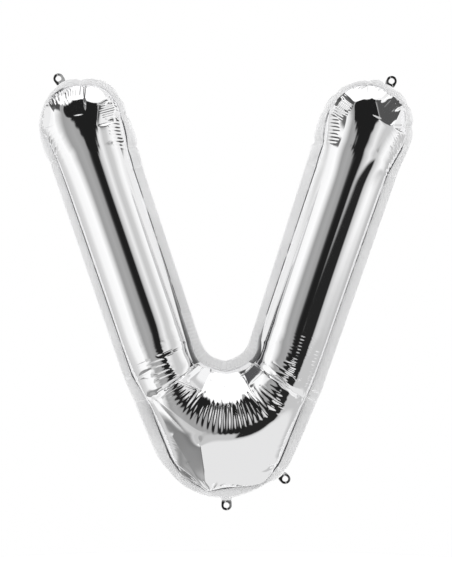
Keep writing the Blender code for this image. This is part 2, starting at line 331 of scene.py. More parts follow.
def seam_plan(flat_seam_runs, runs_on_weld):
    """Pairs of distances, along the flat seam and along the weld line, with the spare film of the
    plain stretches drawn into the folds at their ends."""
    flat_runs = np.concatenate([flat_seam_runs + turn * flat_whole for turn in range(3)])
    runs = np.concatenate([runs_on_weld + turn * weld_whole for turn in range(3)])
    start = runs_on_weld[0] + weld_whole
    folds = np.sort((weld_runs(PINCHES) - start) % weld_whole + start)
    gathered = (weld_runs(GATHERED) - folds[0]) % weld_whole + folds[0]
    flat_folds = np.interp(folds, runs, flat_runs)
    knots, ends = [], list(zip(folds, flat_folds))
    ends.append((folds[0] + weld_whole, flat_folds[0] + flat_whole))
    for (weld_from, flat_from), (weld_to, flat_to) in zip(ends, ends[1:]):
        knots.append((flat_from, weld_from))
        spare = (flat_to - flat_from) - STRETCH * (weld_to - weld_from)
        if spare > 0 and not ((gathered > weld_from) & (gathered < weld_to)).any():
            knots.append((flat_from + spare / 2, weld_from + FOLD_HALF_WIDTH))
            knots.append((flat_to - spare / 2, weld_to - FOLD_HALF_WIDTH))
    round_once = np.array((flat_whole, weld_whole))
    return np.concatenate([np.array(knots) + turn * round_once for turn in (-1, 0, 1)])


def seam_places(flat_runs):
    """Where points along the flat seam end up on the weld line."""
    low = plan[len(plan) // 3, 0]
    runs = np.interp((flat_runs - low) % flat_whole + low, plan[:, 0], plan[:, 1])
    spots = at_run(weld_line, runs)
    return np.stack((spots[:, 0], np.zeros(len(spots)), spots[:, 1]), axis=1)


def up_the_arm(points):
    return np.abs(points[:, 0]) * math.sin(HALF_OPENING_FLAT) + points[:, 1] * math.cos(HALF_OPENING_FLAT)


def plain_film(points):
    """The smooth middle of the arms, away from every pucker."""
    from_notch = np.linalg.norm(points - (0, NOTCH_CORNER_Z + 50 * MM), axis=1)
    from_seam = distance_to(points, evenly(pattern, 400))
    on_arm = (up_the_arm(points) < PLAIN_UP_TO) & (points[:, 1] > NOTCH_CORNER_Z)
    return on_arm & (from_seam > PLAIN_FROM_SEAM) & (from_notch > PLAIN_FROM_NOTCH)


def eased(values, start, end):
    t = np.clip((values - start) / (end - start), 0, 1)
    return t * t * (3 - 2 * t)


def stiffness_at(points):
    """How hard the film resists being pressed together: at 1 it buckles into crimps, near 0 it gives."""
    reach = np.linalg.norm(points - FLAT_NOTCH_CENTRE, axis=1)
    turn = np.degrees(np.arctan2(np.abs(points[:, 0]), FLAT_NOTCH_CENTRE[1] - points[:, 1]))
    crimps = eased(reach, *CRIMPS_START) * (1 - eased(reach, *CRIMPS_END))
    return LIMP + (STIFF - LIMP) * crimps * (1 - eased(turn, *COLLAR_ENDS))


def side_by_side(spots, x0, z0, x1, z1):
    """How far along a line from its start, how far to its right, and the line's length."""
    start, along = np.array((x0, z0)) * MM, np.array((x1 - x0, z1 - z0)) * MM
    length = np.linalg.norm(along)
    along /= length
    return (spots - start) @ along, (spots - start) @ (along[1], -along[0]), length


def away_from(along, right, length):
    """How far from the stretch of that line between its ends."""
    return np.hypot(right, np.maximum(np.maximum(-along, along - length), 0))


def crease_points(places, seam_count):
    """The film's points on the creases, and the share of its height that each loses."""
    near, shares = [], []
    spots = face_on(places)
    for *ends, share in CREASES:
        away = away_from(*side_by_side(spots, *ends))
        found = np.nonzero((away < CREASE_HALF_WIDTH) & (np.arange(len(places)) >= seam_count))[0]
        near.append(found)
        shares.append(np.full(len(found), share))
    return np.concatenate(near), np.concatenate(shares)


NOTCH_CENTRE = (0, -87 * MM)
FLAT_NOTCH_CENTRE = np.array((0, NOTCH_CORNER_Z + NOTCH_ROUNDING / math.sin(HALF_OPENING_FLAT)))
# Creases that the film is drawn in along: x and z at both ends in millimetres, then the share of
# its height that it loses there
CREASES = ((-60, -160, -154, -224, 0.07), (66, -156, 158, -224, 0.07))
CREASE_HALF_WIDTH, CREASE_STEPS = 1.6 * MM, 220
pattern = rounded_outline(*pattern_corners())
flat_whole = run_along(pattern)[-1]
# The nets, from coarse to fine: pitch, steps, the share of its speed that it keeps at each, and how
# stiff it is when pressed
LEVELS = ((12 * MM, 2000, 0.995, 0.02), (6 * MM, 250, 0.98, 0.02), (2.4 * MM, 400, 0.98, stiffness_at))
FINE_PITCH = 5 * MM
PINNED_STEPS, PINNED_GLIDE = 300, 0.98
dice = np.random.default_rng(3)
film = None
for pitch, steps, glide, stiffness in LEVELS[: 3]:
    seam_count = round(flat_whole / pitch)
    seam_flat_runs = np.arange(seam_count) / seam_count * flat_whole
    seam_flat = at_run(pattern, seam_flat_runs)
    flat, triangles = net_over(seam_flat, pitch, plain_film if pitch < FINE_PITCH else None)
    finer = Film(flat, triangles, seam_count, stiffness)
    gas = GAS / pitch
    if film is None:
        start = arms_swung_in(flat)
        start[:seam_count, 1] = 0
        places = finer.settle(start, gas, steps, glide, seam_free=True)
        plan = seam_plan(seam_flat_runs, matched_runs(face_on(places[:seam_count]), weld_line, 12))
        steps, glide = PINNED_STEPS, PINNED_GLIDE
    else:
        places = laid_on(flat, film_flat, film.triangles, places)
        places[seam_count:, 1] += dice.normal(0, SHAKE, len(places) - seam_count)
    places[:seam_count] = seam_places(seam_flat_runs)
    creases = crease_points(places, seam_count) if pitch < FINE_PITCH else ((), ())
    places = finer.settle(places, gas, steps, glide, False, *creases)
    film, film_flat = finer, flat


# Flat facets at the arms' ends, each springing from the seam between two pinches: x and z of the
# pinches, the height it starts from, its slope, how far in its ridge lies and the slope behind that
FACETS = (
    (-372, 329, -363, 388, 22, 1.1, 10, 0.9), (-363, 388, -338, 411, 14, 0.95, 20, 0.95),
    (-338, 411, -300, 417, 6, 0.92, 30, 0.46), (-300, 417, -230, 389, 20, 0.76, 27, 0.36),
    (-230, 389, -216, 353, 13, 0.8, 34, 0.8),
    (212, 361, 239, 394, 14, 0.8, 28, 0.8), (239, 394, 295, 418, 18, 0.8, 24, 0.38),
    (295, 418, 337, 399, 10, 1.05, 24, 0.42), (337, 399, 366, 365, 14, 0.7, 40, 0.7),
    (366, 374, 368, 333, 8, 1.7, 8, 1.3),
)
FACET_ROUNDING, FACET_REACH, FACET_OVERHANG = 1.5 * MM, 34 * MM, 6 * MM
ARM_END_Z = 285 * MM
# Fine ribs: the line they repeat along (x, z to x, z), from where to where across it on its right,
# their pitch, height and lean
RIBS = (
    (-338, 411, -300, 417, 3, 30, 4.9, 1, 0.05), (-361, 390, -340, 410, 3, 16, 4.2, 0.8, 0.1),
    (-230, 389, -216, 353, 3, 36, 4.6, 0.9, 0), (-346, 263, -371, 324, 3, 24, 8.3, 0.5, 0.2),
    (-216, 350, -202, 285, 3, 28, 7.6, 0.7, 0.2),
    (212, 361, 239, 394, 3, 32, 5.2, 1.5, 0), (203, 296, 212, 356, 4, 26, 7.4, 1, 0.1),
    (366, 330, 338, 245, 3, 12, 5.2, 0.3, 0), (340, 396, 366, 372, 4, 34, 9, 0.25, 0),
    (178, -100, 149, -190, 12, 44, 6.8, 0.6, 0), (186, -103, 155, -194, 2, 24, 4.4, 0.35, 0.5),
    (186, -103, 155, -194, 2, 24, 4.4, 0.3, -0.6), (200, -128, 177, -207, 3, 18, 7.2, 0.9, 0),
    (-162, -62, -133, -149, 0, 24, 5.8, 0.2, 0), (-184, -90, -165, -152, 0, 34, 7, 0.3, 0),
)
# Single folds: x and z at both ends, height (negative for a valley) and half width
FOLDS = (
    (-300, 417, -301, 388, -1.2, 1.8), (-338, 411, -326, 384, -1, 1.8), (-230, 389, -248, 374, -1.1, 1.8),
    (-216, 353, -246, 346, -1, 1.8), (-372, 329, -346, 334, -1.1, 1.6), (-363, 388, -352, 372, -0.9, 1.6),
    (295, 418, 292, 392, -0.8, 1.6), (239, 394, 254, 373, -1.2, 1.8), (337, 399, 318, 378, -1.2, 1.8),
    (368, 333, 338, 330, -1, 1.6), (212, 361, 236, 352, -0.9, 1.8), (366, 374, 346, 362, -0.7, 1.6),
    (-193, -172, -137, -145, 0.9, 1.8), (-137, -145, -80, -120, 0.8, 1.8),
    (-191, -164, -137, -139, -0.9, 1.8), (-137, -139, -80, -113, -0.8, 1.8),
    (-187, -194, -129, -157, 0.9, 1.8), (-186, -187, -129, -150, -0.9, 1.8),
    (-156, -236, -73, -186, 0.7, 1.8), (-73, -186, -36, -156, 0.6, 1.8),
    (80, -152, 144, -209, 0.8, 1.8), (96, -151, 156, -192, -0.9, 1.8),
    (-38, -411, -53, -292, 4, 12), (-147, -230, -107, -300, 1.3, 5), (-107, -300, -75, -358, 1.4, 5),
    (-75, -358, -44, -411, 1.2, 4), (-141, -230, -75, -300, -1, 5), (-135, -229, -40, -300, 1, 5),
    (-1, -186, -1, -300, -1, 1.8), (36, -184, 90, -270, -1, 1.8),
    (-46, -147, -150, -222, -1.3, 2.4), (46, -145, 150, -218, -1.3, 2.4),
)
# The half widths under which a fold is a sharp line, and over which it is a broad ridge
SHARP, BROAD = 5, 8
RELIEF_SEED = 11
# Facets beside the notch that the film is drawn flat in, between the creases and the crimps: the x
# and z of their corners, clockwise
FLAT_FACETS = (
    ((-57, -157), (-24, -164), (-46, -213), (-100, -189)),
    ((60, -153), (80, -168), (46, -201), (36, -176)),
)


def faceted(spots, heights):
    """Heights of the film with the arms' ends drawn into flat facets."""
    for x0, z0, x1, z1, foot, slope, ridge, slope_behind in FACETS:
        along, inward, length = side_by_side(spots, x0, z0, x1, z1)
        beside = np.maximum(np.maximum(-along, along - length) - FACET_OVERHANG, 0)
        behind = np.clip(inward - ridge * MM, 0, FACET_REACH)
        facet = foot * MM + slope * inward + (slope_behind - slope) * behind + beside
        here = (spots[:, 1] > ARM_END_Z) & (spots[:, 0] * x0 > 0)
        facet = np.where(here, facet, 1)
        overlap = np.maximum(FACET_ROUNDING - np.abs(heights - facet), 0)
        heights = np.minimum(heights, facet) - overlap ** 2 / (4 * FACET_ROUNDING)
    return heights


def flattened(spots, heights):
    """Heights of the film with each facet beside the notch brought onto one plane."""
    for corners in FLAT_FACETS:
        following = corners[1:] + corners[:1]
        depth = np.min([side_by_side(spots, *a, *b)[1] for a, b in zip(corners, following)], axis=0)
        plane = np.column_stack((spots, np.ones(len(spots))))
        level = plane @ np.linalg.lstsq(plane[depth > 0], heights[depth > 0], rcond=None)[0]
        share = eased(depth, -1 * MM, 3 * MM)
        heights = heights * (1 - share) + level * share
    return heights


def relief(spots):
    """What the ribs and folds add to the film, outwards, and where they lie."""
    dice = np.random.default_rng(RELIEF_SEED)
    added, touched = np.zeros(len(spots)), np.zeros(len(spots), bool)
    for *ends, near, far, pitch, height, lean in RIBS:
        along, right, length = side_by_side(spots, *ends)
        turns = (along + lean * right) / (pitch * MM)
        count = int(length / (pitch * MM)) + 40
        rib = np.clip(np.floor(turns).astype(int) + 20, 0, count - 1)
        strength = dice.uniform(0.5, 1.2, count)[rib]
        uneven = dice.uniform(-0.15, 0.15, (2, count))[:, rib] * (far - near) * MM
        wave = np.abs(2 * (turns - np.floor(turns)) - 1) - 0.5
        window = eased(right, near * MM, (near + 3) * MM + np.abs(uneven[0]))
        window *= 1 - eased(right, 0.7 * far * MM + uneven[1], far * MM + uneven[1])
        window *= eased(along, 0, 4 * MM) * (1 - eased(along, length - 4 * MM, length))
        added += height * MM * strength * wave * window
        touched |= window > 0
    for *ends, height, half_width in FOLDS:
        along, right, length = side_by_side(spots, *ends)
        away = away_from(along, right, length) / (half_width * MM)
        taper = 1 - eased(along, (0.75 if half_width > BROAD else 0.55) * length, length)
        added += height * MM * np.exp(-away) * taper
        touched |= (away < 4) & (along < length) & (half_width < SHARP)
    return added, touched


def with_midpoints(shape, faces, chosen):
    """The net with a new point in the middle of each thread that starts or ends at a chosen point."""
    sides = np.concatenate([faces[:, pair] for pair in ((0, 1), (1, 2), (2, 0))])
    sides.sort(axis=1)
    threads, which = np.unique(sides[:, 0] * len(shape) + sides[:, 1], return_inverse=True)
    ends = np.stack(np.divmod(threads, len(shape)), axis=1)
    cut = chosen[ends].any(axis=1)
    middles = np.where(cut, len(shape) + np.cumsum(cut) - 1, -1)[which].reshape(3, -1).T
    shape = np.concatenate((shape, shape[ends[cut]].mean(axis=1)))
    cuts = (middles >= 0).sum(axis=1)
    (a, b, c), (p, q, r) = faces[cuts == 3].T, middles[cuts == 3].T
    made = [(a, p, r), (p, b, q), (r, q, c), (p, q, r)]
    for turn in range(3):
        corners, halves = np.roll(faces, -turn, axis=1), np.roll(middles, -turn, axis=1)
        once = (cuts == 1) & (halves[:, 0] >= 0)
        (a, b, c), p = corners[once].T, halves[once, 0]
        made += [(a, p, c), (p, b, c)]
        twice = (cuts == 2) & (halves[:, 2] < 0)
        (a, b, c), (p, q) = corners[twice].T, halves[twice, :2].T
        made += [(p, b, q), (a, p, q), (a, q, c)]
    return shape, np.concatenate([faces[cuts == 0]] + [np.stack(three, axis=1) for three in made])


def smoothed(shape, faces, free, passes):
    """The net with its free points eased toward the middle of their neighbours."""
    ends = np.concatenate([faces[:, pair] for pair in ((0, 1), (1, 2), (2, 0), (1, 0), (2, 1), (0, 2))])
    share = np.bincount(ends[:, 0], minlength=len(shape))[:, None]
    for _ in range(passes):
        around = summed(ends[:, 0], shape[ends[:, 1]], len(shape)) / share
        shape = np.where(free[:, None], (shape + around) / 2, shape)
    return shape


def outward(shape, faces):
    a, b, c = (shape[faces[:, k]] for k in range(3))
    total = summed(faces.T.ravel(), np.tile(np.cross(b - a, c - a), (3, 1)), len(shape))
    return total / np.linalg.norm(total, axis=1)[:, None]


def in_creases(spots):
    """Where the creases are, with the ends that they have at the notch."""
    found = np.zeros(len(spots), bool)
    for *ends, _ in CREASES:
        along, right, length = side_by_side(spots, *ends)
        found |= (np.abs(right) < 7 * MM) & (np.abs(along - length / 2) < length / 2 + 5 * MM)
        found |= np.hypot(along + 8 * MM, right) < 26 * MM
    return found


# Film that is smoothed first: the collar by its reach from the notch's centre, the foot by its top
COLLAR_REACH, COLLAR_TOP, FOOT_TOP = 132 * MM, -110 * MM, -330 * MM
COLLAR_PASSES, FOOT_PASSES, RELIEF_PASSES = 150, 7, 3
SEAM_DEPTH = 1 * MM
spots = face_on(places)
places, film_faces = with_midpoints(places, film.triangles, relief(spots)[1] | in_creases(spots))
free = places[:, 1] < -SEAM_DEPTH
spots = face_on(places)
collar = (np.linalg.norm(spots - NOTCH_CENTRE, axis=1) < COLLAR_REACH) & (spots[:, 1] < COLLAR_TOP)
places = smoothed(places, film_faces, free & collar, COLLAR_PASSES)
spots = face_on(places)
places = smoothed(places, film_faces, free & (in_creases(spots) | (spots[:, 1] < FOOT_TOP)), FOOT_PASSES)
places = smoothed(places, film_faces, free & relief(face_on(places))[1], RELIEF_PASSES)
spots = face_on(places)
places[:, 1] = -faceted(spots, np.where(free, flattened(spots, -places[:, 1]), -places[:, 1]))
raised = relief(spots)[0] * (places[:, 1] < -SEAM_DEPTH)
places += raised[:, None] * outward(places, film_faces)


def painted_shade_width(spots):
    """Width of the band of painted shade, dark in the film's colour, beside the weld: it widens down each
    arm's inner side, ends at the fold beside the notch and comes back at the foot's sides."""
    x, z = spots.T
    down = 1 - eased(z, -150 * MM, 180 * MM)
    width = np.where(x < 0, 1.5 + 8 * down * down, 1.2 + 8 * eased(-z, 60 * MM, 140 * MM))
    inner_side = 1 - eased(np.abs(x) - 0.325 * z, 150 * MM, 170 * MM)
    width *= inner_side * eased(z, -154 * MM, -148 * MM) * (1 - eased(z, 140 * MM, 200 * MM))
    foot = (1 - inner_side) * (1 - eased(z, -250 * MM, -230 * MM)) * eased(z, -385 * MM, -370 * MM)
    return (width + np.where(x < 0, 4.5, 3) * foot - 0.5) * MM


def within_painted_shade(spots):
    """How far inside the edge of that band of painted shade each point of the film is."""
    along_weld = evenly(weld_line, WELD_SPOTS)
    weld = KDTree(WELD_SPOTS)
    for i, (x, z) in enumerate(along_weld):
        weld.insert((x, z, 0), i)
    weld.balance()
    nearest = [weld.find((x, z, 0)) for x, z in spots]
    return painted_shade_width(along_weld)[[hit[1] for hit in nearest]] - [hit[2] for hit in nearest]


# Painted shade: how deep each point of the film lies in the dark band painted beside the weld
painted_shade_depth = within_painted_shade(face_on(places)).astype(np.float32)


FILM_STANDS_OFF = 0.4 * MM
# The film's own colour, then the dark colour of the painted shade beside the weld
MIRROR_SHADE, PAINTED_WELD_SHADE = (0.92, 0.92, 0.925, 1), (0.08, 0.08, 0.083, 1)
PAINTED_SHADE_EDGE = 1 * MM


def placed(name, data):
    piece = bpy.data.objects.new(name, data)
    bpy.context.scene.collection.objects.link(piece)
    return piece


def film_object(name, side):
    """One blown sheet as an object: side -1 is the front, +1 the back."""
    shape = places.copy()
    shape[:, 1] = -side * np.minimum(shape[:, 1] - FILM_STANDS_OFF, -FILM_STANDS_OFF)
    mesh = bpy.data.meshes.new(name)
    faces = film_faces if side < 0 else film_faces[:, ::-1]
    mesh.from_pydata(shape.tolist(), [], faces.tolist())
    mesh.shade_smooth()
    # The depth in the band of painted shade, by which the material darkens the film
    mesh.attributes.new("painted_shade_depth", "FLOAT", "POINT").data.foreach_set("value", painted_shade_depth)
    return placed(name, mesh)


def fed(node, **values):
    """The node with these values at its inputs, where _ stands for a space in their names."""
    for label, value in values.items():
        node.inputs[label.replace("_", " ")].default_value = value
    return node


def finish(name, metallic, roughness, shade):
    """A material of one even finish, with its nodes, links and shader for what varies over it."""
    material = bpy.data.materials.new(name)
    material.use_nodes = True
    nodes, links = material.node_tree.nodes, material.node_tree.links
    shader = fed(nodes["Principled BSDF"], Metallic=metallic, Roughness=roughness, Base_Color=shade)
    return material, nodes, links, shader


def mirror_film(name, creases_or_painted_shade):
    """Polished metallised film, optionally with painted shade: a dark band beside the weld painted into its
    base colour.
    """
    material, nodes, links, shader = finish(name, 1, 0.05, MIRROR_SHADE)
    # Painted shade: the base colour turns dark inside the band beside the weld
    if creases_or_painted_shade:
        depth, shades = nodes.new("ShaderNodeAttribute"), nodes.new("ShaderNodeMix")
        depth.attribute_name = "painted_shade_depth"
        edge = fed(nodes.new("ShaderNodeMapRange"), From_Max=PAINTED_SHADE_EDGE)
        shades.data_type = "RGBA"
        fed(shades, A=MIRROR_SHADE, B=PAINTED_WELD_SHADE)
        links.new(depth.outputs["Fac"], edge.inputs["Value"])
        links.new(edge.outputs["Result"], shades.inputs["Factor"])
        links.new(shades.outputs["Result"], shader.inputs["Base Color"])
    return material


# The film's material, with the painted shade beside the weld
mirror = mirror_film("mirror_film", creases_or_painted_shade=True)
for node, side in (("front_panel", -1), ("back_panel", 1)):
    piece = film_object(node.replace("panel", "film"), side)
    piece.data.materials.append(mirror)
    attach(piece, "root")
    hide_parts(node)


# Weld margin
# The two films outside the weld line, fused flat with a fine pressed grain and cut in scallops. It
# waves a little, and folds where the weld is pinched.

MARGIN_STATIONS = 3600
MARGIN_LANES = (-0.2, 0, 0.15, 0.3, 0.5, 0.7, 0.88, 1)
MARGIN_WIDTH, MARGIN_HALF_THICKNESS = 19 * MM, 0.25 * MM
LOBE_RISE = 1.8 * MM
GRAIN_SCALE, GRAIN_DEPTH = 420, 0.006 * MM


def ring_faces(rows, columns):
    """Quads of a grid whose rows run round in a ring."""
    faces = []
    for i in range(rows):
        for j in range(columns - 1):
            corner, beside = i * columns + j, (i + 1) % rows * columns + j
            faces.append((corner, corner + 1, beside + 1, beside))
    return faces


def ring_rims(rows, columns):
    """Pairs of points along that grid's first and last columns, in the order that a wall needs."""
    pairs = []
    for i in range(rows):
        start, end = i * columns, (i + 1) % rows * columns
        pairs += [(start, end), (end + columns - 1, start + columns - 1)]
    return pairs


def closed_sheet(name, front, back, faces, rims):
    """A thin sheet as one closed mesh: its front, its back and a wall along the rims."""
    turned = [tuple(i + len(front) for i in face[::-1]) for face in faces]
    walls = [(a, b, b + len(front), a + len(front)) for a, b in rims]
    mesh = bpy.data.meshes.new(name)
    mesh.from_pydata(np.concatenate((front, back)).tolist(), [], faces + turned + walls)
    mesh.shade_smooth()
    return placed(name, mesh)


def margin_film(name):
    inner = evenly(weld_line, MARGIN_STATIONS)
    outer = at_run(cut_edge, matched_runs(inner, cut_edge, 30))
    lanes = np.array(MARGIN_LANES)
    run = np.arange(MARGIN_STATIONS) / MARGIN_STATIONS * weld_whole
    wave = 0.7 * np.sin(run / (13.5 * MM)) * np.sin(run / (41 * MM) + 1)
    wave += 0.5 * np.sin(run / (22 * MM) + 2)
    folds, lobes = np.zeros(MARGIN_STATIONS), np.ones(MARGIN_STATIONS)
    for pinch in weld_runs(PINCHES):
        apart = (run - pinch + weld_whole / 2) % weld_whole - weld_whole / 2
        folds += 1.3 * np.exp(-np.abs(apart) / (1.7 * MM))
        lobes *= 1 - np.exp(-((apart / (7 * MM)) ** 2))
    at_arm_end = eased(inner[:, 1], ARM_END_Z - 30 * MM, ARM_END_Z)
    lobes *= at_arm_end
    lengthened = 1 + (0.16 * lobes - 0.08) * at_arm_end
    spots = inner[:, None] + (lengthened[:, None] * lanes)[..., None] * (outer - inner)[:, None]
    at_notch = np.exp(-((np.linalg.norm(inner - NOTCH_CENTRE, axis=1) / (105 * MM)) ** 6))
    gathers = 0.3 * np.sin(run / (1.3 * MM)) * at_notch
    rise = (wave[:, None] * np.clip(lanes, 0, 1) + (folds + gathers)[:, None] * (1 - 0.6 * lanes)) * MM
    rise += LOBE_RISE * lobes[:, None] * (4 * lanes * (1 - lanes)).clip(0)
    rise *= np.clip(lanes + 0.1, 0, 0.3) / 0.3
    shape = np.stack((spots[..., 0], -rise, spots[..., 1]), axis=-1).reshape(-1, 3)
    half = (0, MARGIN_HALF_THICKNESS, 0)
    faces, rims = (ring(MARGIN_STATIONS, len(lanes)) for ring in (ring_faces, ring_rims))
    margin = closed_sheet(name, shape - half, shape + half, faces, rims)
    corners = np.zeros(len(margin.data.loops), int)
    margin.data.loops.foreach_get("vertex_index", corners)
    station, lane = np.divmod(corners % len(shape), len(lanes))
    band = np.stack((run[station], lanes[lane] * MARGIN_WIDTH), axis=1).astype(np.float32)
    margin.data.uv_layers.new(name="band").data.foreach_set("uv", band.ravel())
    return margin


def satin_film():
    """Fused film with the soft sheen and fine grain that the heated jaws leave."""
    material, nodes, links, shader = finish("satin_film", 0.45, 0.35, (0.9, 0.9, 0.905, 1))
    place = nodes.new("ShaderNodeUVMap")
    place.uv_map = "band"
    grain = fed(nodes.new("ShaderNodeTexNoise"), Scale=GRAIN_SCALE, Detail=2)
    bump = fed(nodes.new("ShaderNodeBump"), Distance=GRAIN_DEPTH)
    links.new(place.outputs["UV"], grain.inputs["Vector"])
    links.new(grain.outputs["Fac"], bump.inputs["Height"])
    links.new(bump.outputs["Normal"], shader.inputs["Normal"])
    return material


satin = satin_film()
margin = margin_film("margin_film")
margin.data.materials.append(satin)
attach(margin, "root")
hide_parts("weld_margin")


# Weld line
# A fine round bead of fused film runs along the line where the two films part, front and back. Its colour
# is a painted shadow, darkest along the straight stretches and broken by noise.

BEAD_STATIONS, BEAD_SIDES = 1800, 8
BEAD_RADIUS, BEAD_DEPTH = 1.3 * MM, 1 * MM
# The dark colour of the painted shadow along the weld, then the bead's own pale colour
PAINTED_WELD_SHADOW_COLOUR, PALE_SHADE = (0.1, 0.1, 0.105, 1), (0.75, 0.75, 0.76, 1)


def bead_tree():
    """Geometry nodes: a line of points becomes a closed round bead of a given radius."""
    tree = bpy.data.node_groups.new("bead", "GeometryNodeTree")
    for label, kind in (("Geometry", "Geometry"), ("Radius", "Float"), ("Finish", "Material")):
        tree.interface.new_socket(label, in_out="INPUT", socket_type="NodeSocket" + kind)
    tree.interface.new_socket("Geometry", in_out="OUTPUT", socket_type="NodeSocketGeometry")
    given, made = tree.nodes.new("NodeGroupInput"), tree.nodes.new("NodeGroupOutput")
    kinds = ("MeshToCurve", "CurvePrimitiveCircle", "CurveToMesh", "RealizeInstances", "SetMaterial")
    path, ring, sweep, whole, coat = (tree.nodes.new("GeometryNode" + kind) for kind in kinds)
    ring.inputs["Resolution"].default_value = BEAD_SIDES
    for start, leaving, end, entering in (
        (given, "Geometry", path, "Mesh"), (given, "Radius", ring, "Radius"),
        (path, "Curve", sweep, "Curve"), (ring, "Curve", sweep, "Profile Curve"),
        (sweep, "Mesh", whole, "Geometry"), (whole, "Geometry", coat, "Geometry"),
        (given, "Finish", coat, "Material"), (coat, "Geometry", made, "Geometry"),
    ):
        tree.links.new(start.outputs[leaving], end.inputs[entering])
    return tree


def weld_bead(name, y, coat, tree):
    """The bead on one side, swept along the weld, in the material with the painted shadow."""
    line = bpy.data.meshes.new(name)
    joined = [(i, (i + 1) % BEAD_STATIONS) for i in range(BEAD_STATIONS)]
    line.from_pydata([(x, y, z) for x, z in evenly(weld_line, BEAD_STATIONS)], joined, [])
    bead = placed(name, line)
    sweep = bead.modifiers.new("bead", "NODES")
    sweep.node_group = tree
    sockets = {s.name: s.identifier for s in tree.interface.items_tree if s.in_out == "INPUT"}
    sweep[sockets["Radius"]] = BEAD_RADIUS
    sweep[sockets["Finish"]] = coat
    graph = bpy.context.evaluated_depsgraph_get()
    swept = bpy.data.meshes.new_from_object(bead.evaluated_get(graph), depsgraph=graph)
    bead.modifiers.clear()
    bead.data = swept
    swept.shade_smooth()
    return bead


def painted_weld_shadow():
    """Painted shadow along the very line of the weld: the bead's colour is dark in patches of noise, but
    hardly at the notch and the arms' ends.
    """
    material, nodes, links, shader = finish("painted_weld_shadow", 0.5, 0.35, PALE_SHADE)
    place, shadow_breaks = nodes.new("ShaderNodeTexCoord"), nodes.new("ShaderNodeTexNoise")
    reach, parts = nodes.new("ShaderNodeVectorMath"), nodes.new("ShaderNodeSeparateXYZ")
    fed(shadow_breaks, Scale=26, Detail=5)
    reach.operation = "DISTANCE"
    reach.inputs[1].default_value = (NOTCH_CENTRE[0], 0, NOTCH_CENTRE[1])
    for entering in (shadow_breaks.inputs["Vector"], reach.inputs[0], parts.inputs["Vector"]):
        links.new(place.outputs["Object"], entering)
    paleness = shadow_breaks.outputs["Fac"]
    # What pales it: a measure, where that starts, where it is full, and how much is added there
    for measure, start, full, most in (
        (reach.outputs["Value"], 110 * MM, 85 * MM, 0.3), (parts.outputs["Z"], 330 * MM, 370 * MM, 0.18),
    ):
        spread, total = nodes.new("ShaderNodeMapRange"), nodes.new("ShaderNodeMath")
        fed(spread, From_Min=start, From_Max=full, To_Max=most)
        links.new(measure, spread.inputs["Value"])
        links.new(paleness, total.inputs[0])
        links.new(spread.outputs["Result"], total.inputs[1])
        paleness = total.outputs["Value"]
    shades = nodes.new("ShaderNodeValToRGB")
    stops = shades.color_ramp.elements
    # Painted shadow where the noise is low
    stops[0].position, stops[0].color = 0.53, PAINTED_WELD_SHADOW_COLOUR
    stops[1].position, stops[1].color = 0.68, PALE_SHADE
    links.new(paleness, shades.inputs["Fac"])
    links.new(shades.outputs["Color"], shader.inputs["Base Color"])
    return material


# The bead's material, with the painted shadow along the weld
weld_shadow_material = painted_weld_shadow()
bead_nodes = bead_tree()
for bead_name, bead_side in (("weld_line_front", -1), ("weld_line_back", 1)):
    bead = weld_bead(bead_name, bead_side * BEAD_DEPTH, weld_shadow_material, bead_nodes)
    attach(bead, "root")
    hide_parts("weld_margin")


# Filling neck
# The flat sleeve of film between the margin and the bottom tab, through which the letter was filled.

NECK_LANES, NECK_ROWS = 24, 6
NECK_HALF_BOTTOM = 10.5 * MM
# How far it runs under the margin and under the tab
NECK_OVERLAPS = (1.5 * MM, 0.5 * MM)


def neck_film(name):
    low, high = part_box("filling_neck")
    middle, half_top = (low.x + high.x) / 2, (high.x - low.x) / 2
    top, bottom = high.z + NECK_OVERLAPS[0], low.z - NECK_OVERLAPS[1]
    columns = NECK_LANES + 1
    shape, faces = [], []
    for row in range(NECK_ROWS + 1):
        down = row / NECK_ROWS
        half = half_top + (NECK_HALF_BOTTOM - half_top) * down ** 0.7
        for u in np.linspace(-1, 1, columns):
            bulge = 0.25 + 0.5 * (1 - u * u) + 0.2 * math.sin(9 * u + 2 * down)
            shape.append((middle + half * u, -bulge * MM, top + (bottom - top) * down))
    for row in range(NECK_ROWS):
        for lane in range(NECK_LANES):
            a = row * columns + lane
            faces.append((a, a + columns, a + columns + 1, a + 1))
    ring = list(range(columns))
    ring += [row * columns + NECK_LANES for row in range(1, NECK_ROWS + 1)]
    ring += [NECK_ROWS * columns + lane for lane in range(NECK_LANES - 1, -1, -1)]
    ring += [row * columns for row in range(NECK_ROWS - 1, 0, -1)]
    front = np.array(shape)
    neck = closed_sheet(name, front, front * (1, -1, 1), faces, zip(ring, ring[1:] + ring[:1]))
    neck.data.uv_layers.new(name="band")
    return neck


neck = neck_film("neck_film")
neck.data.materials.append(satin)
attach(neck, "root")
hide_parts("filling_neck")


# Hanging tabs
# Four small tabs of the same film, each a flat ring round a punched hole, flared to the edge that
# it grows from.

TAB_RADIUS, HOLE_RADIUS, TAB_HALF_BASE = 11 * MM, 5.5 * MM, 9.5 * MM
TAB_BASE, TAB_HALF_THICKNESS = 11.5 * MM, 0.35 * MM
TAB_RAYS, TAB_RINGS = 96, 7
# Node, hole's centre x and z, and the direction from it to the edge that the tab stands on
TAB_HOLES = (
    ("hang_tab_upper_left", (-345.3, 432.8), (0.55, -0.83)),
    ("hang_tab_upper_right", (343.4, 427.7), (-0.45, -0.89)),
    ("hang_tab_lower_right", (123.4, -394.5), (-0.72, 0.69)),
    ("hang_tab_bottom", (2, -449), (0, 1)),
)


